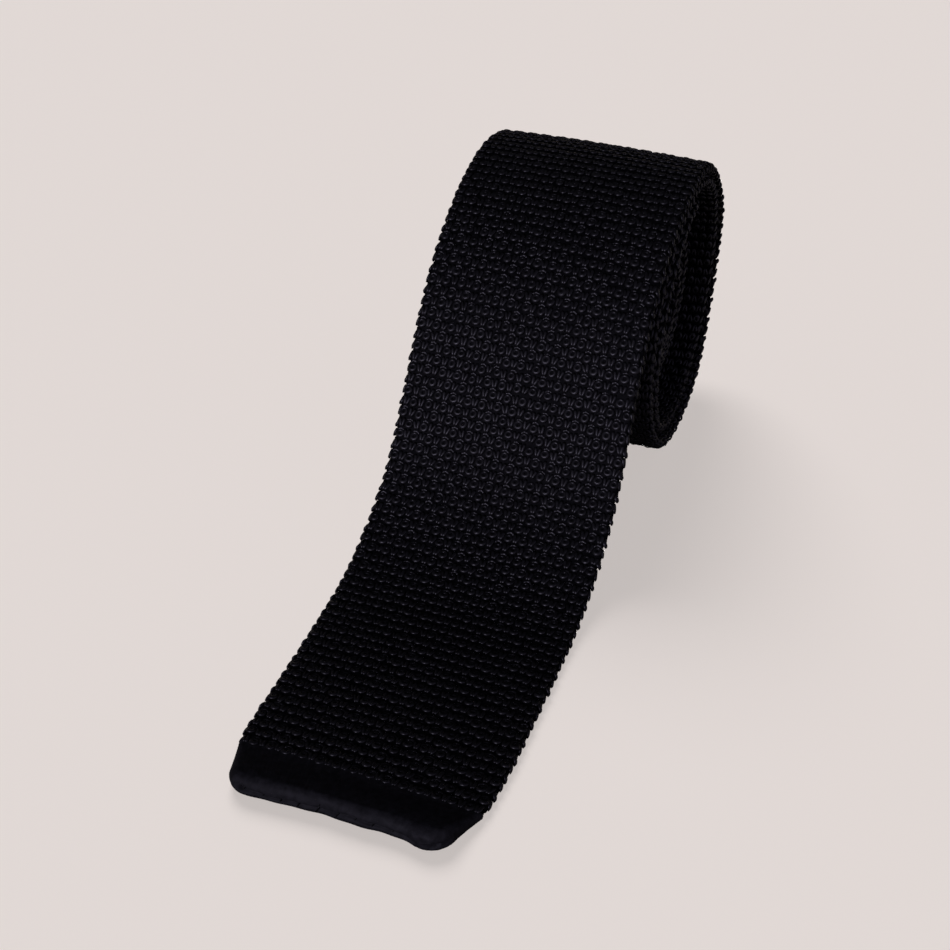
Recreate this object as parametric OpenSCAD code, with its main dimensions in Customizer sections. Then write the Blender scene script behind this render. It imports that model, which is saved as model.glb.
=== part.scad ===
// A knitted square-end necktie, rolled up from its tail and laid down for display.
// The coil stands on its rim. The front blade comes over the coil's top, slopes down to the
// surface in one soft ramp and lies flat as far as its hem.
// Millimetres. X runs across the blade, Y along it with the hem at -Y, and Z up.
// The origin is the centre of the bounding box's bottom face.

/* [Front blade] */
// Width of the front blade
blade_w = 60; // [54:1:66]
// Thickness of the knitted tube, both plies together
fabric_t = 3; // [2.6:0.1:3]
// Length from the end of the hem to where the ramp begins
flat_len = 65; // [50:1:80]
// Length of the folded plain-knit hem
hem_len = 14; // [10:1:18]
// Height of the rolled edge of the hem
hem_h = 5.5; // [4:0.1:6.5]
// Width at the end of the hem, where the plain knit draws in
hem_end_w = 52; // [50:1:58]

/* [Ramp] */
// Steepest slope of the blade between surface and coil, in degrees
ramp_angle = 58; // [50:1:62]
// Radius of the bend where the blade leaves the surface
low_bend_r = 50; // [44:1:56]
// Radius of the bend where the blade runs onto the coil
high_bend_r = 58; // [52:1:62]

/* [Coil] */
// Outer radius of the coil
coil_r = 38.5; // [37:0.5:40]
// Distance from one turn to the next
pitch = 3.3; // [3.2:0.1:3.4]
// How far the coil's rim is pressed flat where it stands
contact_depth = 0.4; // [0.2:0.1:0.6]

/* [Neck band and tail] */
// Width of the neck band
neck_w = 34; // [30:1:38]
// Width of the tail blade
tail_w = 48; // [42:1:52]
// Length over which the knit changes width
shoulder_len = 20; // [14:1:24]
// Length of the tail's folded hem
tail_hem_len = 10; // [8:1:12]
// Length of a linking seam along the tie
seam_len = 1.6; // [1:0.1:2.4]

/* [Keeper loop and labels] */
// Width of the keeper loop, measured along the tie
keeper_w = 12; // [8:1:14]
// Length of the keeper loop across the blade
keeper_span = 44; // [38:1:48]
// Thickness of the keeper loop
keeper_t = 0.8; // [0.6:0.1:1]
// Free height under the keeper loop
keeper_gap = 0.8; // [0.6:0.1:1]
// Slope of the ramp at the middle of the keeper loop, in degrees
keeper_angle = 36; // [34:1:38]
// Length of the blank woven label across the blade
label_w = 40; // [34:1:46]
// Width of the blank woven label along the tie
label_h = 13; // [10:1:13]
// Thickness of the woven label and of the fibre tag
label_t = 0.5; // [0.4:0.1:0.6]

/* [Hidden] */
$fn = 64;

// Half turns wound in each section, counted from the outside
blade_half_turns = 4;
neck_half_turns = 6;
tail_half_turns = 8;
tail_start = blade_half_turns + neck_half_turns;
tail_end = tail_start + tail_half_turns - 1;

// Clearance where the blade bends from one moving body to the next
joint_gap = 0.2;
stitch_r = 0.3;
// Larger than the whole part, for cutting shapes
far = 400;

// Side profile of the ramp, from the surface to the top of the coil
coil_z = coil_r - contact_depth;
top_z = coil_z + coil_r - fabric_t / 2;
bends = (low_bend_r + high_bend_r) * (1 - cos(ramp_angle));
straight_len = (top_z - fabric_t / 2 - bends) / sin(ramp_angle);
ramp_len_y = (low_bend_r + high_bend_r) * sin(ramp_angle) + straight_len * cos(ramp_angle);
tip_y = -(flat_len + ramp_len_y + coil_r) / 2;
touch_y = tip_y + flat_len;
coil_y = touch_y + ramp_len_y;
high_bend_z = top_z - high_bend_r;
// What is sewn to the underside of the upper bend lies just clear of the knit
seat_gap = 0.05;
under_r = high_bend_r - fabric_t / 2 - seat_gap;

// Colours
silk_black = [0.045, 0.045, 0.055];
hem_black = [0.06, 0.06, 0.075];
thread_black = [0.02, 0.02, 0.025];
label_grey = [0.16, 0.16, 0.18];
tag_grey = [0.5, 0.5, 0.52];

// The coil is a spiral of half circles. Each one is half a pitch smaller than the one outside it,
// and every second centre is half a pitch lower, so that they meet edge to edge.
function half_r(k) = coil_r - fabric_t / 2 - k * pitch / 2;
function half_z(k) = coil_z - (k % 2) * pitch / 2;
function half_start(k) = k % 2 == 0 ? -90 : 90;
function arc_deg(len, r) = len / r * 180 / PI;
function arc_points(centre, r, from, to, steps = 24) =
    [for (i = [0 : steps]) let (a = from + (to - from) * i / steps) centre + r * [cos(a), sin(a)]];

// A strip bent to a cylinder about an axis along X. Angles run from +Y towards +Z.
module strip_arc(r, w, start, sweep, y = coil_y, z = coil_z, t = fabric_t) {
    translate([0, y, z]) rotate([90, 0, 90])
        rotate_extrude(angle = sweep, start = start, $fn = 180)
            translate([r - t / 2, -w / 2]) square([t, w]);
}

// Cuts a strip of radius r just past the top of the coil to a taper, seen from above.
// The angles are measured from the coil's top.
module taper(w_from, w_to, r, angle_from, angle_to) {
    y_from = coil_y + (r - fabric_t / 2) * sin(angle_from);
    y_to = coil_y + (r + fabric_t / 2) * sin(angle_to);
    translate([0, 0, -far / 2]) linear_extrude(far)
        polygon([[-w_from / 2, y_from], [w_from / 2, y_from], [w_to / 2, y_to], [-w_to / 2, y_to]]);
}

module half_turns(first, last, w) {
    for (k = [first : last]) strip_arc(half_r(k), w, half_start(k), 180, z = half_z(k));
}

// A row of small stitches along X
module stitch_row(span, count, y, z, stitch_len = 2) {
    for (i = [0 : count - 1])
        translate([(i / (count - 1) - 0.5) * span - stitch_len / 2, y, z])
            rotate([0, 90, 0]) cylinder(h = stitch_len, r = stitch_r, $fn = 16);
}

// Places a child on the underside of the upper bend, at an angle from the coil's top
module under_bend(angle) {
    translate([0, coil_y, high_bend_z]) rotate([angle, 0, 0]) translate([0, 0, under_r]) children();
}

// ---- Front blade ----

module blade_tip() {
    color(silk_black) translate([-blade_w / 2, tip_y + hem_len, 0])
        cube([blade_w, flat_len - hem_len - joint_gap, fabric_t]);
}

module front_hem() {
    roll_r = hem_h / 2;
    in = hem_end_w / 2;
    out = blade_w / 2;
    color(hem_black) translate([0, tip_y, 0]) intersection() {
        translate([-out, 0, 0]) rotate([90, 0, 90]) linear_extrude(blade_w) {
            translate([roll_r, roll_r]) circle(roll_r, $fn = 48);
            polygon([[roll_r, 0], [hem_len, 0], [hem_len, fabric_t], [hem_len * 0.6, hem_h * 0.8],
                     [roll_r, hem_h]]);
        }
        translate([0, 0, -1]) linear_extrude(hem_h + 2)
            polygon([[-in, -1], [in, -1], [out, hem_len], [out, hem_len + 1], [-out, hem_len + 1], [-out, hem_len]]);
    }
}

module front_hem_stitches() {
    color(thread_black) stitch_row(hem_end_w - 8, 11, tip_y + 0.5, hem_h * 0.3);
}

// The side profile is two bends with a straight stretch between them.
module blade_drape() {
    low = [touch_y, fabric_t / 2 + low_bend_r];
    high = [coil_y, high_bend_z];
    half_t = fabric_t / 2;
    profile = concat(
        arc_points(low, low_bend_r - half_t, -90, ramp_angle - 90),
        arc_points(high, high_bend_r + half_t, 90 + ramp_angle, 90),
        arc_points(high, high_bend_r - half_t, 90, 90 + ramp_angle),
        arc_points(low, low_bend_r + half_t, ramp_angle - 90, -90)
    );
    color(silk_black) translate([-blade_w / 2, 0, 0]) rotate([90, 0, 90])
        linear_extrude(blade_w) polygon(profile);
}

module blade_outer_turn() {
    gap_deg = arc_deg(joint_gap, coil_r);
    color(silk_black) strip_arc(half_r(0), blade_w, gap_deg, 90 - 2 * gap_deg);
}

// The rest of the outer turn, the next one and the fashioned shoulder that narrows to the neck band
module blade_wound() {
    shoulder_deg = arc_deg(shoulder_len, half_r(blade_half_turns));
    color(silk_black) intersection() {
        union() {
            strip_arc(half_r(0), blade_w, -90, 90);
            half_turns(1, blade_half_turns - 1, blade_w);
            intersection() {
                strip_arc(half_r(blade_half_turns), blade_w, 90 - shoulder_deg, shoulder_deg);
                taper(blade_w, neck_w, half_r(blade_half_turns), 0, shoulder_deg);
            }
        }
        translate([-far / 2, -far / 2, 0]) cube(far);
    }
}

// ---- Back of the blade: keeper loop, label and tag ----

// A band across the blade that the tail is tucked through, fixed only at its two ends
module keeper_loop() {
    half_deg = arc_deg(keeper_w / 2, under_r);
    end_w = 3;
    color(silk_black) translate([0, coil_y, high_bend_z]) rotate([90, 0, 90])
        rotate_extrude(angle = 2 * half_deg, start = 90 + keeper_angle - half_deg, $fn = 180) {
            translate([under_r - keeper_gap - keeper_t, -keeper_span / 2]) square([keeper_t, keeper_span]);
            for (x = [-keeper_span / 2, keeper_span / 2 - end_w])
                translate([under_r - keeper_gap, x]) square([keeper_gap, end_w]);
        }
}

module keeper_tacks() {
    tack = [1.4, keeper_w - 1.5, 0.5];
    for (side = [-1, 1])
        color(thread_black) under_bend(keeper_angle)
            translate([side * (keeper_span / 2 - 1.5) - tack.x / 2, -tack.y / 2, -keeper_gap - keeper_t - tack.z])
                cube(tack);
}

module woven_label() {
    sweep = arc_deg(label_h, under_r);
    color(label_grey)
        strip_arc(under_r - label_t / 2, label_w, 90 + ramp_angle - sweep, sweep,
                  coil_y, high_bend_z, label_t);
}

module label_stitches() {
    rows = 5;
    sweep = arc_deg(label_h - 3, under_r);
    middle = ramp_angle - arc_deg(label_h / 2, under_r);
    for (side = [-1, 1], i = [0 : rows - 1])
        color(thread_black) under_bend(middle + (i / (rows - 1) - 0.5) * sweep)
            translate([side * (label_w / 2 - 1.2) - 0.2, -0.7, -label_t - 0.3]) cube([0.4, 1.4, 0.3]);
}

// A short folded tab sewn in above the keeper loop
module fibre_tag() {
    tag_w = 12;
    tag_h = 6;
    sweep = arc_deg(tag_h, under_r);
    keeper_edge = keeper_angle - arc_deg(keeper_w / 2, under_r);
    color(tag_grey)
        strip_arc(under_r - label_t / 2, tag_w, 90 + keeper_edge - sweep - 0.2, sweep,
                  coil_y, high_bend_z, label_t);
}

// ---- Neck band and tail ----

module front_linking_seam() {
    r = half_r(blade_half_turns);
    color(thread_black)
        strip_arc(r, neck_w + 1.5, 90 - arc_deg(shoulder_len + seam_len, r), arc_deg(seam_len, r));
}

module neck_band() {
    r = half_r(blade_half_turns);
    used = arc_deg(shoulder_len + seam_len, r);
    color(silk_black) {
        strip_arc(r, neck_w, -90, 180 - used);
        half_turns(blade_half_turns + 1, tail_start - 1, neck_w);
    }
}

module tail_linking_seam() {
    r = half_r(tail_start);
    color(thread_black) strip_arc(r, neck_w + 1.5, 90 - arc_deg(seam_len, r), arc_deg(seam_len, r));
}

module tail_blade() {
    r = half_r(tail_start);
    seam_deg = arc_deg(seam_len, r);
    shoulder_deg = arc_deg(shoulder_len * 0.6, r);
    hem_deg = arc_deg(tail_hem_len, half_r(tail_end));
    color(silk_black) {
        intersection() {
            strip_arc(r, tail_w, 90 - seam_deg - shoulder_deg, shoulder_deg);
            taper(neck_w, tail_w + 2, r, seam_deg, seam_deg + shoulder_deg);
        }
        strip_arc(r, tail_w, -90, 180 - seam_deg - shoulder_deg + 0.5);
        half_turns(tail_start + 1, tail_end - 1, tail_w);
        strip_arc(half_r(tail_end), tail_w, 90 + hem_deg, 180 - hem_deg, z = half_z(tail_end));
    }
}

module tail_hem() {
    r = half_r(tail_end);
    color(hem_black) strip_arc(r, tail_w, 90, arc_deg(tail_hem_len, r), z = half_z(tail_end));
}

module tail_hem_stitches() {
    color(thread_black) stitch_row(tail_w - 8, 9, coil_y + stitch_r, half_z(tail_end) + half_r(tail_end));
}

blade_tip();
front_hem();
front_hem_stitches();
blade_drape();
keeper_loop();
keeper_tacks();
woven_label();
label_stitches();
fibre_tag();
blade_outer_turn();
blade_wound();
front_linking_seam();
neck_band();
tail_linking_seam();
tail_blade();
tail_hem();
tail_hem_stitches();
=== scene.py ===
import math

import bpy
import bmesh
import numpy as np
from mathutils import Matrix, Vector


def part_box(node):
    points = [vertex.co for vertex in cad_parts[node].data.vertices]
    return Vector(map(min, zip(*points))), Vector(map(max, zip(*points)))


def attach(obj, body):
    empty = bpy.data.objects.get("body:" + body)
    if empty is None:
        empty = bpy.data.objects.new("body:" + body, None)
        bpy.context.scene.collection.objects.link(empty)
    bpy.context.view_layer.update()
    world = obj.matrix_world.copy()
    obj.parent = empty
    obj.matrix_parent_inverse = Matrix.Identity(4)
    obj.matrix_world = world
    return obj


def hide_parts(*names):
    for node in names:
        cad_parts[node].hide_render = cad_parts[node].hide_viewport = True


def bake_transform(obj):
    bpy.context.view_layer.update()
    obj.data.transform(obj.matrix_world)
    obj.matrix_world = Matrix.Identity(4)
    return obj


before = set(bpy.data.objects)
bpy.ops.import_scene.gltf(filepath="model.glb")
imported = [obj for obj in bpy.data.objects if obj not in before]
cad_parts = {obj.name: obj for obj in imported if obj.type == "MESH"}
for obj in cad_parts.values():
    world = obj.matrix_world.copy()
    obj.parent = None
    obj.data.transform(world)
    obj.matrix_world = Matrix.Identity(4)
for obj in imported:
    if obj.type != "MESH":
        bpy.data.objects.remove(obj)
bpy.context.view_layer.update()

# Everything below is worked out in millimetres and turned into metres where a mesh is made.
MM = 0.001
rng = np.random.default_rng(20)


def box_mm(node):
    """A CAD node's lowest and highest corner, in millimetres."""
    low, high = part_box(node)
    return np.array(low) / MM, np.array(high) / MM


# ---------------------------------------------------------------- sizes

# From the frame
drape_low, drape_high = box_mm("blade_drape")
hem_low, hem_high = box_mm("front_hem")
outer_high = box_mm("blade_outer_turn")[1]
BLADE_W = drape_high[0] - drape_low[0]
NECK_W = box_mm("neck_band")[1][0] * 2
TAIL_W = box_mm("tail_blade")[1][0] * 2
CLOTH_T = box_mm("blade_tip")[1][2]
TIP_Y = hem_low[1]
HEM_LEN = hem_high[1] - hem_low[1]
HEM_H = hem_high[2]
TOUCH_Y = drape_low[1]
COIL_Y = drape_high[1]
TOP_Z = drape_high[2]
COIL_R = outer_high[1] - COIL_Y
COIL_Z = TOP_Z - COIL_R
KEEPER_SPAN = box_mm("keeper_loop")[1][0] * 2
LABEL_W = box_mm("woven_label")[1][0] * 2
TAG_W = box_mm("fibre_tag")[1][0] * 2

# The design's shape values, as in the CAD model
RAMP_ANGLE = math.radians(58)
LOW_BEND_R = 50.0
HIGH_BEND_R = 58.0
PITCH = 3.3
BLADE_HALF_TURNS = 4
NECK_HALF_TURNS = 6
TAIL_HALF_TURNS = 8
SHOULDER_LEN = 20.0
SEAM_LEN = 1.6
HEM_END_W = 52.0
TAIL_HEM_LEN = 10.0
TAIL_HEM_H = 2.9
KEEPER_W = 12.0
KEEPER_T = 0.8
KEEPER_GAP = 0.8
KEEPER_ANGLE = math.radians(36)
LABEL_H = 13.0
LABEL_T = 0.5
TAG_H = 6.0

# The tuck knit: loops stand in rows across the cloth, every second row shifted by half a space
LOOPS_ROUND_BLADE = 30
LOOPS_ROUND_TAIL = 24
LOOPS_ROUND_NECK = 20
ROW = 2.86
# The yarn's radius in a round loop, in a vee and in the float over a round loop
RING_YARN_R = 0.52
VEE_YARN_R = 0.43
FLOAT_YARN_R = 0.48
# Half the thickness of the tube under its loops
BASE_T = 1.05
# How far the loops are pressed down into the cloth, as a share of their height
FLATTENED = 0.48
# How unevenly the loops are made: their turn in radians, their size as a share, and their place
TURN_SPREAD = 0.13
SIZE_SPREAD = 0.055
PLACE_SPREAD = 0.08
# How far the rows slant and droop across the blade
ASKEW = 0.030
DROOP = 0.0007

# The plain knit: the width of a column of V's and the height of one course
WALE = 1.25
COURSE = 0.9

# No point of the cloth is lower than this
LOWEST = 0.02


# ---------------------------------------------------------------- the tie's own line

# The line is kept as points this far apart
LINE_STEP = 0.1
# Before the coil's half turns come the flat end, the low bend, the straight ramp and the high bend
RUNS_BEFORE_COIL = 4


def tie_line():
    """Where the middle of the cloth runs, from the hem's end to the tail's end.

    Gives the way along, s, the y and z at each s, and the s where each run ends."""
    half_turns = BLADE_HALF_TURNS + NECK_HALF_TURNS + TAIL_HALF_TURNS
    bends = (LOW_BEND_R + HIGH_BEND_R) * (1 - math.cos(RAMP_ANGLE))
    rise = TOP_Z - CLOTH_T
    straight = (rise - bends) / math.sin(RAMP_ANGLE)
    runs = [
        (TOUCH_Y - TIP_Y, 0.0),
        (LOW_BEND_R * RAMP_ANGLE, 1 / LOW_BEND_R),
        (straight, 0.0),
        (HIGH_BEND_R * RAMP_ANGLE, -1 / HIGH_BEND_R),
    ]
    for k in range(half_turns):
        r = COIL_R - CLOTH_T / 2 - k * PITCH / 2
        runs.append((math.pi * r, -1 / r))
    ends = np.cumsum([length for length, _ in runs])
    s = np.arange(0, ends[-1], LINE_STEP)
    run = np.minimum(np.searchsorted(ends, s, side="right"), len(runs) - 1)
    bend = np.array([b for _, b in runs])[run]
    slope = np.cumsum(bend) * LINE_STEP - bend * LINE_STEP / 2
    y = TIP_Y + np.cumsum(np.cos(slope)) * LINE_STEP
    z = CLOTH_T / 2 + np.cumsum(np.sin(slope)) * LINE_STEP
    return s, y, z, ends


S_LINE, Y_LINE, Z_LINE, RUN_ENDS = tie_line()


def after_half_turns(count):
    """The s where that many half turns of the coil have been wound."""
    return RUN_ENDS[RUNS_BEFORE_COIL - 1 + count]


S_TOP = after_half_turns(0)


def soften(values, reach):
    """Rounds off the change from one bend to the next on the ramp, and leaves the coil as it is."""
    half = int(3 * reach / LINE_STEP)
    kernel = np.exp(-0.5 * (np.arange(-half, half + 1) * LINE_STEP / reach) ** 2)
    kernel /= kernel.sum()
    before = 2 * values[0] - values[half:0:-1]
    after = 2 * values[-1] - values[-2:-half - 2:-1]
    smooth = np.convolve(np.concatenate([before, values, after]), kernel, mode="valid")
    share = np.clip((S_TOP + 4 - S_LINE) / 20, 0, 1)
    return values + (smooth - values) * share


Y_LINE = soften(Y_LINE, 4.0)
Z_LINE = soften(Z_LINE, 4.0)
SLOPE_LINE = np.unwrap(np.arctan2(np.gradient(Z_LINE), np.gradient(Y_LINE)))


def hump(s, middle, reach):
    """A smooth rise to 1 at the middle, most of it within reach on both sides."""
    return np.exp(-((s - middle) / reach) ** 2)


def bulge(s, x):
    """The cloth stands up in the middle over the coil's top, and sags where the coil meets the floor."""
    over_top = 1.1 * hump(s, S_TOP + 24, 20) * np.clip(1 - ((x + 8) / 38) ** 2, 0, 1)
    at_floor = 1.0 * hump(s, S_TOP + 138, 16)
    return over_top + at_floor


def stray(s, x):
    """Each edge of the strip strays a little from a straight line, on its own."""
    left = 0.7 * hump(s, 5, 10) - 0.9 * hump(s, 84, 26) + 0.7 * hump(s, 165, 30)
    right_on_ramp = -1.8 * hump(s, 3, 15) + 0.5 * hump(s, 110, 25)
    right_on_coil = 0.6 * hump(s, S_TOP + 46, 12) + 0.5 * hump(s, S_TOP + 98, 18)
    return np.clip(np.abs(x) / 30, 0, 1) * np.where(x < 0, left, right_on_ramp + right_on_coil)


def sway(s):
    """Each turn of the coil lies a little to one side or the other of the one outside it."""
    wound = np.clip((s - S_TOP - 60) / 120, 0, 1)
    return wound * (0.45 * np.sin(s / 23.0 + 1.0) - 0.7 * np.sin(s / 61.0))


def place(s, x, n):
    """The point at s along the tie, x across it and n above the middle of the cloth: x, y and z."""
    y = np.interp(s, S_LINE, Y_LINE)
    z = np.interp(s, S_LINE, Z_LINE)
    slope = np.interp(s, S_LINE, SLOPE_LINE)
    n = n + bulge(s, x)
    height = np.maximum(z + n * np.cos(slope), LOWEST)
    return np.stack([x + sway(s) + stray(s, x), y - n * np.sin(slope), height], axis=-1)


# Where each stretch of the tie ends
S_BLADE_END = after_half_turns(BLADE_HALF_TURNS)
S_NECK = S_BLADE_END + SHOULDER_LEN + SEAM_LEN
S_NECK_END = after_half_turns(BLADE_HALF_TURNS + NECK_HALF_TURNS)
S_TAIL = S_NECK_END + SEAM_LEN
S_TAIL_END = RUN_ENDS[-1]
# Where the joints are
S_TIP_JOINT = TOUCH_Y - TIP_Y
S_BACK_JOINT = S_TOP + math.pi / 2 * (COIL_R - CLOTH_T / 2)
# Pieces are divided in the middle of a body
S_MID_DRAPE = 0.5 * (S_TIP_JOINT + S_TOP)
S_MID_OUTER = 0.5 * (S_TOP + S_BACK_JOINT)
S_COIL_START = S_BACK_JOINT + 40


# ---------------------------------------------------------------- the knitted tube

class Tube:
    """A knitted tube pressed flat. q is the way round it, from the middle of the face."""

    def __init__(self, width, loops_round, half_t=BASE_T, relief=0.5):
        self.width = width
        self.half_w = width / 2 - relief
        self.half_t = half_t
        self.flat = self.half_w - half_t
        self.girth = 4 * self.flat + 2 * math.pi * half_t
        self.loops_round = loops_round
        self.space = self.girth / loops_round

    def section(self, q, rise, half_t=None, flat=None):
        """x and n of a point at q round the tube, rise above its surface."""
        q = (q + self.girth / 2) % self.girth - self.girth / 2
        side = np.where(q < 0, -1.0, 1.0)
        a = np.abs(q)
        turn = np.clip((a - self.flat) / self.half_t, 0, math.pi)
        back = np.maximum(a - self.flat - math.pi * self.half_t, 0)
        along = np.minimum(a, self.flat) - back
        if flat is None:
            flat = self.flat
        if half_t is None:
            half_t = self.half_t
        x = side * (along * flat / self.flat + (half_t + rise) * np.sin(turn))
        n = (half_t + rise) * np.cos(turn)
        return x, n

    def samples(self, spacing, at_fold):
        """Ways round the tube at which its mesh has points: even on the faces, closer on the folds."""
        on_flat = max(4, round(self.flat / spacing))
        flat_part = (np.arange(on_flat) + 0.5) * self.flat / on_flat
        fold = math.pi / 2 * self.half_t
        quarter = np.concatenate([flat_part, self.flat + (np.arange(at_fold) + 0.5) * fold / at_fold])
        half = np.concatenate([quarter, self.girth / 2 - quarter[::-1]])
        return np.concatenate([half, self.girth - half[::-1]])

    def on_face(self, q):
        """x of q, for choosing loops, and whether q is on the face, the back or an edge."""
        x, n = self.section(np.asarray(q, float), 0.0)
        part = np.where(n > 0.6 * self.half_t, 1, np.where(n < -0.6 * self.half_t, -1, 0))
        return x, part


BLADE = Tube(BLADE_W, LOOPS_ROUND_BLADE)
TAIL = Tube(TAIL_W, LOOPS_ROUND_TAIL)
NECK = Tube(NECK_W, LOOPS_ROUND_NECK, half_t=1.15, relief=0.25)


def row_s(s, x):
    """Rows slant a little across the blade and droop at its edges, as the cloth lies slightly askew."""
    return s - ASKEW * x - DROOP * x * x


def tube_point(tube, s, q, rise, half_w=None):
    """The point at s and q on a tube, rise above its surface. half_w gives its width where that varies."""
    flat = None if half_w is None else half_w(s) - tube.half_t
    x, n = tube.section(q, rise, flat=flat)
    return place(s, x, n)


def new_object(name, points, faces, material):
    """Makes a smooth mesh object from points in millimetres."""
    mesh = bpy.data.meshes.new(name)
    mesh.from_pydata((np.asarray(points).reshape(-1, 3) * MM).tolist(), [], faces)
    mesh.materials.append(material)
    mesh.polygons.foreach_set("use_smooth", [True] * len(mesh.polygons))
    mesh.update()
    obj = bpy.data.objects.new(name, mesh)
    bpy.context.scene.collection.objects.link(obj)
    return obj


def outward(obj, sharp_angle=1.15):
    """Makes every face of a closed mesh look outward, and keeps its sharp edges sharp."""
    bm = bmesh.new()
    bm.from_mesh(obj.data)
    bmesh.ops.remove_doubles(bm, verts=bm.verts, dist=1e-7)
    bmesh.ops.recalc_face_normals(bm, faces=bm.faces)
    for edge in bm.edges:
        if len(edge.link_faces) == 2 and edge.calc_face_angle() > sharp_angle:
            edge.smooth = False
    bm.to_mesh(obj.data)
    bm.free()
    return obj


def tube_faces(rows, around):
    """The faces of a tube of rows x around points, with both ends closed straight across."""
    faces = []
    for i in range(rows - 1):
        for k in range(around):
            m = (k + 1) % around
            faces.append((i * around + k, i * around + m, (i + 1) * around + m, (i + 1) * around + k))
    quarter = around // 4
    for base in (0, (rows - 1) * around):
        for k in range(-quarter, quarter - 1):
            pair = (around // 2 - 1 - k) % around
            next_pair = (around // 2 - 2 - k) % around
            faces.append((base + k % around, base + (k + 1) % around, base + next_pair, base + pair))
    return faces


def cloth(name, tube, s_from, s_to, material, relief, half_w=None, step=0.95, spacing=1.0):
    """The body of the knit between the loops: a closed flat tube with its own fine relief."""
    rows = max(2, round((s_to - s_from) / step) + 1)
    q_round = tube.samples(spacing, 3)
    around = len(q_round)
    s = np.linspace(s_from, s_to, rows)[:, None] * np.ones((1, around))
    q = q_round[None, :] * np.ones((rows, 1))
    x, _ = tube.section(q, 0.0)
    points = tube_point(tube, s, q, relief(s, q, x, tube), half_w)
    return outward(new_object(name, points, tube_faces(rows, around), material))


def edge_bumps(s, x, tube):
    """The edges bulge at every second row, where a loop sits on the fold."""
    reach = 2.2
    height = 0.22
    near_edge = np.clip((np.abs(x) - tube.half_w + reach) / reach, 0, 1)
    return near_edge * height * np.cos(math.pi * (s / ROW - 1))


def tuck_relief(s, q, x, tube):
    """Low ribs of yarn under the loops, and the bumps at the edges."""
    phase = math.pi * (s - row_s(0, x)) / ROW
    ribs = 0.10 * np.cos(2 * phase) + 0.07 * np.cos(2 * math.pi * q / tube.space) * np.cos(phase)
    return ribs - 0.12 + edge_bumps(s, x, tube)


def plain_relief(s, q, *_):
    """Plain knit: columns of small V's, each course slanting down to the middle of its column."""
    across = q / WALE - np.floor(q / WALE) - 0.5
    ridge = 0.035 * np.cos(4 * math.pi * across)
    slant = 0.045 * np.cos(2 * math.pi * (s / COURSE + 0.9 * np.abs(across)))
    return ridge + slant


# ---------------------------------------------------------------- loops of yarn

def strand(points, radii, sides, closed):
    """A strand of yarn swept along points, as local points and four-sided faces. Its ends are closed."""
    points = np.asarray(points, float)
    count = len(points)
    if closed:
        ahead, behind = np.roll(points, -1, axis=0), np.roll(points, 1, axis=0)
    else:
        ahead = np.concatenate([points[1:], points[-1:]])
        behind = np.concatenate([points[:1], points[:-1]])
    tangent = ahead - behind
    tangent /= np.linalg.norm(tangent, axis=1)[:, None]
    up = np.array([0.0, 0.0, 1.0])
    across = np.cross(tangent, up)
    across /= np.linalg.norm(across, axis=1)[:, None]
    over = np.cross(across, tangent)
    turn = 2 * math.pi * (np.arange(sides) + 0.5) / sides
    radii = np.broadcast_to(radii, count)
    ring = (
        points[:, None, :]
        + radii[:, None, None] * (np.cos(turn)[None, :, None] * across[:, None, :]
                                  + np.sin(turn)[None, :, None] * over[:, None, :])
    )
    faces = []
    for i in range(count if closed else count - 1):
        j = (i + 1) % count
        for k in range(sides):
            m = (k + 1) % sides
            faces.append((i * sides + k, j * sides + k, j * sides + m, i * sides + m))
    if not closed:
        last = (count - 1) * sides
        for k in range(1, sides // 2):
            faces.append((k - 1, k, sides - 1 - k, sides - k))
            faces.append((last + sides - k, last + sides - 1 - k, last + k, last + k - 1))
    return ring.reshape(-1, 3), np.array(faces)


def join(shapes):
    """Joins several (points, faces) into one."""
    points, faces, base = [], [], 0
    for p, f in shapes:
        points.append(p)
        faces.append(f + base)
        base += len(p)
    return np.concatenate(points), np.concatenate(faces)


def ring_shape(segments, sides):
    """The round loop that stands up from the cloth. Its lower side stands a little prouder."""
    t = 2 * math.pi * np.arange(segments) / segments
    line = np.stack([0.72 * np.cos(t), 0.78 * np.sin(t), 0.16 - 0.46 * np.sin(t)], axis=1)
    return strand(line, RING_YARN_R * (1 - 0.16 * np.sin(t)), sides, True)


def vee_shape(segments, sides):
    """The two legs of the loop that lies between two round ones, closing towards the hem."""
    legs = []
    t = np.linspace(0, 1, segments)
    radii = VEE_YARN_R * (0.80 + 0.32 * np.sin(math.pi * (0.15 + 0.7 * t)))
    for side in (-1, 1):
        line = np.stack([
            side * (0.12 + 0.50 * t ** 0.7),
            -0.95 + 2.15 * t,
            0.44 - 0.72 * t ** 2,
        ], axis=1)
        legs.append(strand(line, radii, sides, False))
    return join(legs)


def float_shape(segments, sides):
    """The yarn that passes over the top of a round loop, a little deeper in the cloth."""
    t = np.linspace(math.radians(15), math.radians(165), segments)
    depth = -0.36
    pressed = 0.55
    line = np.stack([np.cos(t), 0.45 + 1.08 * np.sin(t), depth - 0.20 * np.abs(np.cos(t))], axis=1)
    points, faces = strand(line, FLOAT_YARN_R, sides, False)
    points[:, 2] = depth + pressed * (points[:, 2] - depth)
    return points, faces


def lattice(tube, s_from, s_to, choose):
    """Places of the round loops and of the vees: two arrays of s and q."""
    rings, vees = [], []
    for row in range(math.ceil(s_from / ROW), math.ceil(s_to / ROW)):
        for half in range(2 * tube.loops_round):
            q = (half / 2 - tube.loops_round / 2) * tube.space
            x, part = tube.on_face(q)
            if choose(row * ROW, float(x), int(part)):
                kind = rings if (half + row) % 2 == 0 else vees
                kind.append((row * ROW, q))
    return np.array(rings).reshape(-1, 2), np.array(vees).reshape(-1, 2)


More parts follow.
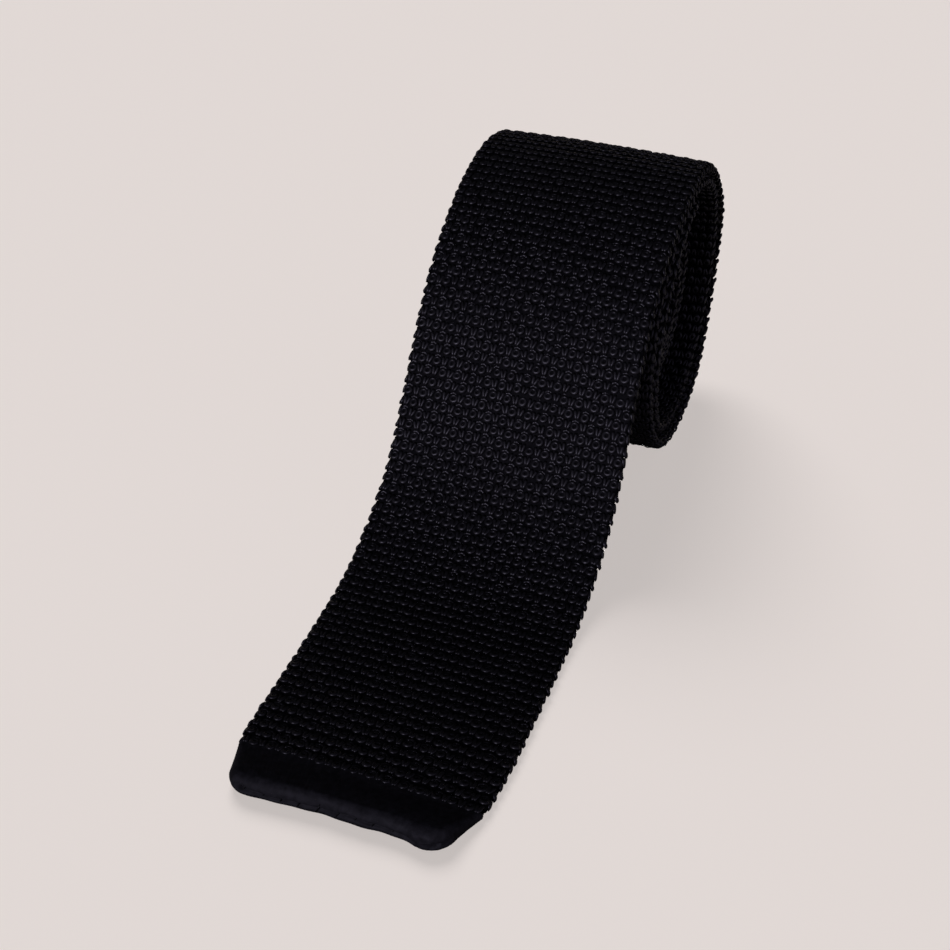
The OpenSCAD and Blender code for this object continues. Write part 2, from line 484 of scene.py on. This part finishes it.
def scatter(tube, cells, shape, half_w, sunk):
    """Copies a local shape to every cell, each a little different, and bends it to the tube."""
    points, faces = shape
    points = points * np.array([1, 1, FLATTENED])
    count = len(cells)
    turn = rng.normal(0, TURN_SPREAD, count)
    size = 1 + rng.normal(0, SIZE_SPREAD, (count, 3))
    shift = rng.normal(0, PLACE_SPREAD, (count, 3)) * np.array([1, 1, 0.5])
    cos, sin = np.cos(turn)[:, None], np.sin(turn)[:, None]
    local = points[None, :, :] * size[:, None, :]
    a = local[..., 0] * cos - local[..., 1] * sin + shift[:, None, 0]
    b = local[..., 0] * sin + local[..., 1] * cos + shift[:, None, 1]
    c = local[..., 2] + shift[:, None, 2] - sunk
    x, _ = tube.section(cells[:, 1], 0.0)
    s = row_s(cells[:, 0], x)[:, None] + b
    placed = tube_point(tube, s, cells[:, 1][:, None] + a, c, half_w)
    index = faces[None, :, :] + (np.arange(count) * len(points))[:, None, None]
    return placed.reshape(-1, 3), index.reshape(-1, 4)


def loops(name, tube, s_from, s_to, material, choose, fine, half_w, sunk=0.0):
    """One object with every loop of yarn that stands on a stretch of cloth."""
    rings, vees = lattice(tube, s_from, s_to, choose)
    if fine:
        shapes = [(rings, ring_shape(12, 6)), (rings, float_shape(5, 4)), (vees, vee_shape(5, 6))]
    else:
        shapes = [(rings, ring_shape(9, 5)), (vees, vee_shape(4, 4))]
    parts = [scatter(tube, cells, shape, half_w, sunk) for cells, shape in shapes if len(cells)]
    points, faces = join(parts)
    return new_object(name, points, faces.tolist(), material)


# ---------------------------------------------------------------- materials

def node_material(name):
    """A new node material and its Principled shader."""
    material = bpy.data.materials.new(name)
    material.use_nodes = True
    return material, material.node_tree.nodes["Principled BSDF"]


def noise(tree, scale, detail, stretch=(1, 1, 1)):
    """Noise in the object's own space. Its scale is per metre."""
    coords = tree.nodes.new("ShaderNodeTexCoord")
    mapping = tree.nodes.new("ShaderNodeMapping")
    mapping.inputs["Scale"].default_value = stretch
    texture = tree.nodes.new("ShaderNodeTexNoise")
    texture.inputs["Scale"].default_value = scale
    texture.inputs["Detail"].default_value = detail
    tree.links.new(coords.outputs["Object"], mapping.inputs["Vector"])
    tree.links.new(mapping.outputs["Vector"], texture.inputs["Vector"])
    return texture


def two_colours(tree, source, low, high):
    """Runs a value from one colour to another."""
    node = tree.nodes.new("ShaderNodeValToRGB")
    node.color_ramp.elements[0].position = 0.35
    node.color_ramp.elements[1].position = 0.65
    node.color_ramp.elements[0].color = (*low, 1)
    node.color_ramp.elements[1].color = (*high, 1)
    tree.links.new(source, node.inputs["Fac"])
    return node


def yarn_material(name, dark, light, roughness, specular, fibre_scale=2600, bump=0.25):
    """Black yarn: fine fibres in relief, and a colour and gloss that vary from place to place."""
    material, shader = node_material(name)
    tree = material.node_tree
    patches = noise(tree, 700, 3)
    colour = two_colours(tree, patches.outputs["Fac"], dark, light)
    tree.links.new(colour.outputs["Color"], shader.inputs["Base Color"])
    gloss = noise(tree, 260, 2)
    rough = tree.nodes.new("ShaderNodeMapRange")
    rough.inputs["To Min"].default_value = roughness - 0.09
    rough.inputs["To Max"].default_value = roughness + 0.09
    tree.links.new(gloss.outputs["Fac"], rough.inputs["Value"])
    tree.links.new(rough.outputs["Result"], shader.inputs["Roughness"])
    fibres = noise(tree, fibre_scale, 4, (1, 0.35, 0.6))
    relief = tree.nodes.new("ShaderNodeBump")
    relief.inputs["Strength"].default_value = bump
    relief.inputs["Distance"].default_value = 0.00012
    tree.links.new(fibres.outputs["Fac"], relief.inputs["Height"])
    tree.links.new(relief.outputs["Normal"], shader.inputs["Normal"])
    shader.inputs["Specular IOR Level"].default_value = specular
    shader.inputs["Specular Tint"].default_value = (0.80, 0.74, 1.0, 1)
    return material


YARN = yarn_material(
    "silk_yarn", roughness=0.41, specular=0.155,
    dark=(0.0010, 0.0009, 0.0013), light=(0.0026, 0.0024, 0.0035))
# The same silk yarn, painted lighter and glossier for the wound turns: painted light that keeps the coil's
# shaded sides from going black.
COIL_YARN_PAINTED_LIGHT = yarn_material(
    "silk_yarn_in_coil_painted_light", roughness=0.50, specular=0.32,
    dark=(0.0014, 0.0013, 0.0018), light=(0.0044, 0.0041, 0.0062))
# The cloth between the loops: the same black yarn, painted darker and duller than the loops as painted
# shade in the gaps between them.
GROUND_PAINTED_SHADE = yarn_material(
    "knit_ground_painted_shade", roughness=0.6, specular=0.016,
    dark=(0.0004, 0.0004, 0.0007), light=(0.0012, 0.0011, 0.0017))
# The same black yarn in plain knit, painted lighter and given little gloss: a painted sheen standing in for
# the highlight on the hem's lip, on every piece made of this knit.
HEM_KNIT_PAINTED_SHEEN = yarn_material(
    "hem_knit_painted_sheen", roughness=0.60, specular=0.03, fibre_scale=1900, bump=0.5,
    dark=(0.0030, 0.0028, 0.0040), light=(0.0058, 0.0054, 0.0078))
THREAD = yarn_material(
    "sewing_thread", roughness=0.45, specular=0.08,
    dark=(0.0008, 0.0008, 0.0010), light=(0.0018, 0.0018, 0.0022))
LABEL = yarn_material(
    "label_satin", roughness=0.38, specular=0.4, fibre_scale=4200, bump=0.3,
    dark=(0.035, 0.035, 0.042), light=(0.055, 0.055, 0.066))
TAG = yarn_material(
    "tag_satin", roughness=0.45, specular=0.4, fibre_scale=4200, bump=0.25,
    dark=(0.45, 0.44, 0.42), light=(0.58, 0.57, 0.55))


# ---------------------------------------------------------------- making pieces

def finish_piece(piece, bodies):
    """Parents a piece to its body when it has one, and bakes its transform into its mesh when it spans
    several.
    """
    if len(bodies) == 1:
        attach(piece, bodies[0])
    else:
        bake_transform(piece)


def dress(name, tube, s_from, s_to, bodies, face, back, nodes=(),
          fine=True, half_w=None, back_sunk=0.0, yarn=YARN):
    """One stretch of knitted tube with its loops, riding on one body, or with its transform baked where it
    spans two.

    face and back choose the loops to make from their s, x and the side of the tube they stand on."""
    ground = cloth(name, tube, s_from, s_to, GROUND_PAINTED_SHADE, tuck_relief, half_w=half_w)
    made = [
        loops(name + "_face_loops", tube, s_from, s_to, yarn, face, fine, half_w),
        loops(name + "_back_loops", tube, s_from, s_to, yarn, back, False, half_w, back_sunk),
    ]
    for piece in [ground] + made:
        finish_piece(piece, bodies)
    if nodes:
        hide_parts(*nodes)


def threads(name, paths, radius, body, node):
    """Short lengths of sewing thread. Each path holds points of x, s and n in the tie's own space."""
    parts = []
    for path in paths:
        points, faces = strand(path, radius, 6, False)
        parts.append((place(points[:, 1], points[:, 0], points[:, 2]), faces))
    points, faces = join(parts)
    piece = outward(new_object(name, points, faces.tolist(), THREAD), sharp_angle=2.0)
    finish_piece(piece, (body,))
    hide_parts(node)
    return piece


# ---------------------------------------------------------------- hems

def hem(name, tube, s_end, way, length, height, end_w, base, body, node):
    """A folded plain-knit hem, as a soft pillow that ends in a rounded lip with the fold's slit along it.

    d is the distance from the end, and way is +1 where s grows away from the end. base is how far the
    hem's underside stays off the surface."""
    lip = height / 2
    round_lip = lip * (1 - np.cos(np.radians([3, 6, 10, 14, 19, 25, 33, 43, 55, 68, 80])))
    d = np.concatenate([round_lip, np.arange(lip, length + 0.7, 0.4)])[:, None]
    q = tube.samples(0.4, 6)[None, :]

    # How thick the pillow is, from the lip back to where it meets the tuck knit
    swell = np.clip(1 - (d - lip) / (length - lip), 0, 1)
    swell = 0.6 * swell + 0.4 * swell * swell * (3 - 2 * swell)
    back_t = BASE_T + 0.10
    full_t = back_t + (lip - back_t) * swell
    half_t = full_t * np.sqrt(1 - np.clip(1 - d / lip, 0, 1) ** 2)

    # How wide it is, with rounded corners
    corner = 3.8
    narrowed = (tube.half_w - end_w / 2) * np.clip(1 - d / length, 0, 1)
    rounded = corner * (1 - np.sqrt(1 - np.clip(1 - d / corner, 0, 1) ** 2))
    flat = tube.half_w - narrowed - rounded - half_t
    rise = plain_relief(way * d + 40, q) * np.clip(d / 1.5, 0.3, 1)
    x, n = tube.section(q, rise, half_t, flat)
    lift = full_t + base + (CLOTH_T / 2 - back_t - base) * (1 - swell) - CLOTH_T / 2

    # The lip is uneven, swells at its corners and is drawn in along the slit
    waves = 0.15 * np.sin(x / 6.1 + 1.0) + 0.16 * np.sin(x / 2.3) + 0.1 * np.sin(x / 1.1 + 2)
    corner_x = end_w / 2 - 3.4
    swells = 1.5 * hump(x, corner_x - 1.5, 4.0) + 0.6 * hump(x, 4 - corner_x, 4.5) - 0.5 * hump(x, -3, 10)
    slit_line = 0.30 * np.sin(x / 5.0 + 0.6) + 0.15 * np.sin(x / 1.9)
    dimples = hump(np.abs(x), corner_x, 1.5)
    slit = (0.75 + 0.15 * np.sin(x / 3.3) + 1.5 * dimples) * hump(n, slit_line, 0.42 + 0.25 * dimples)
    inward = (0.7 - waves - swells) * np.exp(-d / 3.0) + slit * np.exp(-d / 1.6)
    inward = inward + (row_s(0, x) - 0.4) * (d / length) ** 2

    points = place(s_end + way * (d + inward), x, n + lift)
    piece = outward(new_object(name, points, tube_faces(len(d), q.shape[1]), HEM_KNIT_PAINTED_SHEEN))
    finish_piece(piece, (body,))
    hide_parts(node)
    return piece


# A hem stitch: how far it leans to each side, how deep it lies from the hem's end, and how high it is
HEM_STITCH = [(-1, 1.7, 0), (-0.5, 1.1, 0.3), (0, 1.2, 0.5), (0.5, 1.1, 0.7), (1, 1.7, 1)]


def hem_stitches(name, s_end, way, span, count, low, high, body, node):
    """Small slanting stitches that hold the two layers of a hem together along its slit."""
    paths = []
    for i in range(count):
        x = (i / (count - 1) - 0.5) * span + rng.normal(0, 0.25)
        lean = 0.5 + rng.normal(0, 0.1)
        paths.append([
            (x + side * lean, s_end + way * deep, low + up * (high - low))
            for side, deep, up in HEM_STITCH
        ])
    return threads(name, paths, 0.15, body, node)


# ---------------------------------------------------------------- the front blade

front_hem = hem(
    "front_hem_knit", BLADE, s_end=0.0, way=1, length=HEM_LEN, height=HEM_H, end_w=HEM_END_W, base=0.12,
    body="tip", node="front_hem")
front_thread = hem_stitches(
    "front_hem_thread", s_end=0.0, way=1, span=HEM_END_W - 8, count=11, low=-0.3, high=2.6,
    body="tip", node="front_hem_stitches")


def whole_face(s, x, part):
    """Every loop of the face and the folds, but for those that would hang off the hem's back edge."""
    return part > 0 or (part == 0 and s > HEM_LEN + 2)


def whole_back(s, x, part):
    """Every loop of the underside."""
    return part < 0


dress("blade_front", BLADE, HEM_LEN, S_MID_DRAPE, ("tip", "drape"), whole_face, whole_back,
      nodes=("blade_tip", "blade_drape"))
dress("blade_over_coil", BLADE, S_MID_DRAPE, S_MID_OUTER, ("drape", "outer_turn"), whole_face,
      whole_back, nodes=("blade_outer_turn",))


# ---------------------------------------------------------------- the blade in the coil

S_SECOND_TURN = after_half_turns(2)
# How far into the second turn the cloth is uncovered when the outermost turn is peeled off
UNCOVERED = 62
# Half the width of the neck band's body, to which both blades narrow
NECK_HALF_W = NECK_W / 2 - 0.4


def turn_loops(s, x, part):
    """The outer side is seen as far as the peeled turn uncovers it, and so are the edges of every turn."""
    return part == 0 or (part > 0 and (s < S_SECOND_TURN + UNCOVERED or abs(x) > 26))


def turn_back_loops(s, x, part):
    """The inner side is seen past the edges of the narrower neck band."""
    return part < 0 and abs(x) > (16 if s > S_SECOND_TURN - 6 else 25)


def shoulder_half_w(s):
    """Half the blade's width, which narrows over the shoulder to the neck band."""
    share = np.clip((s - S_BLADE_END) / SHOULDER_LEN, 0, 1)
    return BLADE.half_w + (NECK_HALF_W - BLADE.half_w) * share


def seam_links(name, s_end, node):
    """The row of linked loops between the neck band and a blade. It ends at s_end."""
    seam_tube = Tube(NECK_W + 1.5, LOOPS_ROUND_NECK, half_t=1.3, relief=0.15)
    overlap = 0.2
    link_w = 1.8
    piece = cloth(name, seam_tube, s_end - SEAM_LEN - overlap, s_end + overlap, THREAD,
                  lambda s, q, *_: 0.18 * np.cos(2 * math.pi * q / link_w), step=0.4)
    finish_piece(piece, ("coil",))
    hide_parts(node)
    return piece


dress("blade_back", BLADE, S_MID_OUTER, S_COIL_START, ("outer_turn", "coil"), whole_face,
      whole_back)
front_seam = seam_links("front_seam_links", S_NECK, "front_linking_seam")
dress("blade_wound_turns", BLADE, S_COIL_START, S_BLADE_END + SHOULDER_LEN, ("coil",), turn_loops,
      turn_back_loops, nodes=("blade_wound",), fine=False,
      half_w=shoulder_half_w, back_sunk=0.18, yarn=COIL_YARN_PAINTED_LIGHT)


# ---------------------------------------------------------------- neck band and tail

def neck_band():
    """The plain knitted tube between the two blades."""
    piece = cloth("neck_band_knit", NECK, S_NECK, S_NECK_END, HEM_KNIT_PAINTED_SHEEN, plain_relief, step=1.0, spacing=0.6)
    finish_piece(piece, ("coil",))
    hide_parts("neck_band")


S_TAIL_SECOND = after_half_turns(BLADE_HALF_TURNS + NECK_HALF_TURNS + 2)
# From here to its end the tail's inner side is seen in the open middle of the coil
S_TAIL_CORE = S_TAIL_END - 75


def tail_half_w(s):
    """Half the tail's width, which widens from the neck band over its own shoulder."""
    share = np.clip((s - S_TAIL) / (0.6 * SHOULDER_LEN), 0, 1)
    return NECK_HALF_W + (TAIL.half_w - NECK_HALF_W) * share


def tail_face(s, x, part):
    """The outer side is seen past the neck band's edges on the first turn, then only at its own edges."""
    return part == 0 or (part > 0 and abs(x) > (14 if s < S_TAIL_SECOND else 20))


def tail_back(s, x, part):
    """The inner side is seen at its edges, and whole in the open middle of the coil."""
    return part < 0 and (abs(x) > 19 or s > S_TAIL_CORE)


neck_band()
tail_seam = seam_links("tail_seam_links", S_TAIL, "tail_linking_seam")
tail_hem = hem(
    "tail_hem_knit", TAIL, s_end=S_TAIL_END, way=-1, length=TAIL_HEM_LEN, height=TAIL_HEM_H,
    end_w=TAIL_W - 2, base=0.05, body="coil", node="tail_hem")
tail_thread = hem_stitches(
    "tail_hem_thread", s_end=S_TAIL_END, way=-1, span=TAIL_W - 8, count=9, low=-0.8, high=0.8,
    body="coil", node="tail_hem_stitches")
dress("tail_blade_turns", TAIL, S_TAIL, S_TAIL_END - TAIL_HEM_LEN, ("coil",), tail_face, tail_back,
      nodes=("tail_blade",), fine=False,
      half_w=tail_half_w, yarn=COIL_YARN_PAINTED_LIGHT)


# ---------------------------------------------------------------- keeper loop, label and tag

def under(s, x, depth):
    """A point under the blade, depth below its back."""
    return place(s, x, -(CLOTH_T / 2 + depth))


def with_rim(values, rim):
    """Adds one more value close to each end, for a narrow rim."""
    return np.concatenate([values[:1], values[:1] + rim, values[1:-1], values[-1:] - rim, values[-1:]])


def two_sided_faces(rows, columns):
    """The faces of a thin band: two grids of rows x columns points, joined along their border."""
    index = np.arange(rows * columns).reshape(rows, columns)
    other_side = rows * columns
    faces = []
    for base in (0, other_side):
        for i in range(rows - 1):
            for k in range(columns - 1):
                quad = (index[i, k], index[i, k + 1], index[i + 1, k + 1], index[i + 1, k])
                faces.append(tuple(int(v) + base for v in quad))
    border = list(index[:, 0]) + list(index[-1, 1:]) + list(index[-2::-1, -1]) + list(index[0, -2:0:-1])
    for one, two in zip(border, border[1:] + border[:1]):
        faces.append((int(one), int(two), int(two) + other_side, int(one) + other_side))
    return faces


def slab(name, s_mid, length, span, near, far, material, spacing):
    """A thin closed band under the blade. near and far give the depth of its two faces from x and s."""
    rim = 0.12
    x = with_rim(np.linspace(-span / 2, span / 2, round(span / spacing) + 1), rim)
    t = with_rim(np.linspace(-length / 2, length / 2, round(length / spacing) + 1), rim)
    x, t = np.meshgrid(x, t, indexing="ij")
    at_rim = np.minimum(span / 2 - np.abs(x), length / 2 - np.abs(t)) < rim / 2
    a, b = near(x, t), far(x, t)
    middle = (a + b) / 2
    a = np.where(at_rim, middle - 0.6 * (middle - a), a)
    b = np.where(at_rim, middle + 0.6 * (b - middle), b)
    points = np.concatenate([under(s_mid + t, x, depth).reshape(-1, 3) for depth in (a, b)])
    return outward(new_object(name, points, two_sided_faces(*x.shape), material))


def side_stitches(count, length, x_out, s_mid, depth, shape):
    """Paths of stitches in a row along the tie, x_out to each side of its middle and depth below it."""
    paths = []
    for side in (-1, 1):
        for i in range(count):
            s = s_mid + (i / (count - 1) - 0.5) * length
            paths.append([(side * x_out + a, s + b, c - depth) for a, b, c in shape])
    return paths


# One stitch of each kind: x, s and n of its points, from its own middle
TACK_STITCH = [(-0.7, -0.3, 0.25), (-0.35, -0.1, -0.15), (0.35, 0.1, -0.15), (0.7, 0.3, 0.25)]
LABEL_STITCH = [(0, -0.8, 0.2), (0, -0.4, -0.12), (0, 0.4, -0.12), (0, 0.8, 0.2)]


def keeper():
    """The band that the tail is tucked through: fine ribbed knit, arched off the blade between its ends."""
    s_mid = S_TOP - HIGH_BEND_R * KEEPER_ANGLE
    sewn = KEEPER_SPAN / 2 - 3
    rib_w = 1.5

    def inner(x, t):
        return KEEPER_GAP * np.clip((sewn + 1.2 - np.abs(x)) / 1.6, 0, 1) - 0.02

    def outer(x, t):
        return inner(x, t) + KEEPER_T - 0.08 + 0.10 * np.cos(2 * math.pi * t / rib_w)

    band = slab("keeper_band", s_mid, KEEPER_W, KEEPER_SPAN, inner, outer, HEM_KNIT_PAINTED_SHEEN, 0.3)
    finish_piece(band, ("drape",))
    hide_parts("keeper_loop")
    depth = CLOTH_T / 2 + KEEPER_T
    paths = side_stitches(10, KEEPER_W - 1.8, KEEPER_SPAN / 2 - 1.5, s_mid, depth, TACK_STITCH)
    tacks = threads("keeper_bar_tacks", paths, 0.24, "drape", "keeper_tacks")


def label():
    """A blank satin label, turned under at both ends, with a plain woven border along its length."""
    s_mid = S_TOP - HIGH_BEND_R * RAMP_ANGLE + LABEL_H / 2 * HIGH_BEND_R / (HIGH_BEND_R - CLOTH_T / 2)

    def inner(x, t):
        return 0 * x - 0.02

    def outer(x, t):
        turned_end = 0.14 * (np.abs(x) > LABEL_W / 2 - 2.4)
        border = 0.05 * (np.abs(np.abs(t) - LABEL_H / 2 + 1.1) < 0.35)
        pucker = 0.05 * np.cos(2 * math.pi * t / 2.6) * hump(np.abs(x), LABEL_W / 2 - 1.2, 1.2)
        return LABEL_T - 0.2 + turned_end + border + pucker

    patch = slab("blank_label", s_mid, LABEL_H, LABEL_W, inner, outer, LABEL, 0.4)
    finish_piece(patch, ("drape",))
    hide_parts("woven_label")
    depth = CLOTH_T / 2 + LABEL_T
    paths = side_stitches(5, LABEL_H - 3, LABEL_W / 2 - 1.2, s_mid, depth, LABEL_STITCH)
    stitches = threads("label_thread", paths, 0.16, "drape", "label_stitches")


def fibre_tab():
    """A small blank tab of ribbon, folded double, its cut ends sewn in at the keeper loop."""
    length = 2 * TAG_H
    gap = 0.06
    ribbon_t = 0.17
    mid_r = gap + ribbon_t / 2
    s_sewn = S_TOP - HIGH_BEND_R * KEEPER_ANGLE + KEEPER_W / 2 + 0.2
    bend = math.pi * mid_r
    straight = (length - bend) / 2
    t = np.concatenate([
        np.linspace(0, straight, 14),
        np.linspace(straight, straight + bend, 9)[1:],
        np.linspace(straight + bend, length, 14)[1:],
    ])
    turn = np.clip((t - straight) / bend, 0, 1) * math.pi
    along = np.clip(np.minimum(t, length - t), 0, straight) + mid_r * np.sin(turn)
    depth = LABEL_T / 2 + 0.02 - mid_r * np.cos(turn)
    x = np.linspace(-TAG_W / 2, TAG_W / 2, 25)
    skins = []
    for side in (-1, 1):
        half = side * ribbon_t / 2
        a = (along + half * np.sin(turn))[:, None] + 0 * x[None, :]
        b = (depth - half * np.cos(turn))[:, None] + 0 * x[None, :]
        skins.append(under(s_sewn + a, x[None, :] + 0 * a, b).reshape(-1, 3))
    piece = outward(new_object("fibre_tab", np.concatenate(skins), two_sided_faces(len(t), len(x)), TAG))
    finish_piece(piece, ("drape",))
    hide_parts("fibre_tag")


keeper()
label()
fibre_tab()


# ---------------------------------------------------------------- floor, light and camera

def floor():
    """A wide round floor, in metres, with its rim turned up to stand behind the object in low views."""
    radius = 3.0
    rim_height = 0.45
    around = 96
    turn = 2 * math.pi * np.arange(around) / around
    circle = np.stack([radius * np.cos(turn), radius * np.sin(turn), 0 * turn], axis=1)
    faces = [tuple(range(around))]
    for k in range(around):
        m = (k + 1) % around
        faces.append((k, m, around + m, around + k))
    mesh = bpy.data.meshes.new("floor")
    mesh.from_pydata(np.concatenate([circle, circle + (0, 0, rim_height)]).tolist(), [], faces)
    obj = bpy.data.objects.new("floor", mesh)
    bpy.context.scene.collection.objects.link(obj)
    material, shader = node_material("pale_floor")
    shader.inputs["Base Color"].default_value = (0.50, 0.45, 0.43, 1)
    shader.inputs["Emission Color"].default_value = (0.75, 0.694, 0.672, 1)
    shader.inputs["Emission Strength"].default_value = 0.70
    shader.inputs["Roughness"].default_value = 0.9
    shader.inputs["Specular IOR Level"].default_value = 0.0
    mesh.materials.append(material)
    return obj


def direction(azimuth, elevation):
    """The direction to a lamp or the camera. Azimuth is measured from the front (-Y) towards +X."""
    level = math.cos(elevation)
    return Vector((math.sin(azimuth) * level, -math.cos(azimuth) * level, math.sin(elevation)))


def sun(name, azimuth, elevation, strength, spread, colour=(1, 1, 1)):
    """A soft light from far away. Its angles are in degrees."""
    lamp = bpy.data.lights.new(name, "SUN")
    lamp.energy = strength
    lamp.angle = math.radians(spread)
    lamp.color = colour
    obj = bpy.data.objects.new(name, lamp)
    towards = direction(math.radians(azimuth), math.radians(elevation))
    obj.rotation_euler = towards.to_track_quat("Z", "Y").to_euler()
    bpy.context.scene.collection.objects.link(obj)
    return obj


def link_light(lamp, stage, state):
    """INCLUDE lets a lamp light only the floor, and EXCLUDE everything but the floor."""
    receivers = bpy.data.collections.new(lamp.name + "_receivers")
    receivers.objects.link(stage)
    receivers.collection_objects[0].light_linking.link_state = state
    lamp.light_linking.receiver_collection = receivers


def studio(stage):
    """A pale floor that glows a little, a lamp for its shadows, and soft lamps for the object alone."""
    world = bpy.data.worlds.new("studio")
    world.use_nodes = True
    world.node_tree.nodes["Background"].inputs["Color"].default_value = (0.95, 0.96, 1.0, 1)
    world.node_tree.nodes["Background"].inputs["Strength"].default_value = 0.06
    bpy.context.scene.world = world
    bpy.context.scene.view_settings.view_transform = "Standard"
    # The floor's glow doesn't reach the object
    link_light(stage, stage, "INCLUDE")
    shadow_lamp = sun("behind_left", azimuth=-148, elevation=47, strength=1.64, spread=34)
    link_light(shadow_lamp, stage, "INCLUDE")
    front = sun("front", azimuth=-10, elevation=23, strength=4.3, spread=27)
    right = sun("right", azimuth=72, elevation=12, strength=0.8, spread=80, colour=(0.86, 0.84, 1.0))
    # This one shines through the floor, as light thrown back by it, onto the back and the underside
    below = sun("behind_below", azimuth=-165, elevation=-30, strength=3.2, spread=20)
    for lamp in (front, right, below):
        link_light(lamp, stage, "EXCLUDE")
    below.light_linking.blocker_collection = below.light_linking.receiver_collection


def camera():
    """The camera at the photograph's viewing angle, in front of the tie and to its right."""
    azimuth = math.radians(20.2)
    elevation = math.radians(36.5)
    distance = 372.6 * MM
    look_at = Vector((0, TOUCH_Y + 16.9, 30)) * MM
    data = bpy.data.cameras.new("camera")
    data.sensor_width = 36
    data.lens = 59.84
    data.shift_x = 0.0042
    data.shift_y = 0.019
    data.clip_start = 0.01
    obj = bpy.data.objects.new("camera", data)
    back = direction(azimuth, elevation)
    obj.location = look_at + back * distance
    obj.rotation_mode = "QUATERNION"
    obj.rotation_quaternion = (-back).to_track_quat("-Z", "Y")
    bpy.context.scene.collection.objects.link(obj)
    bpy.context.scene.camera = obj


camera()
studio(floor())
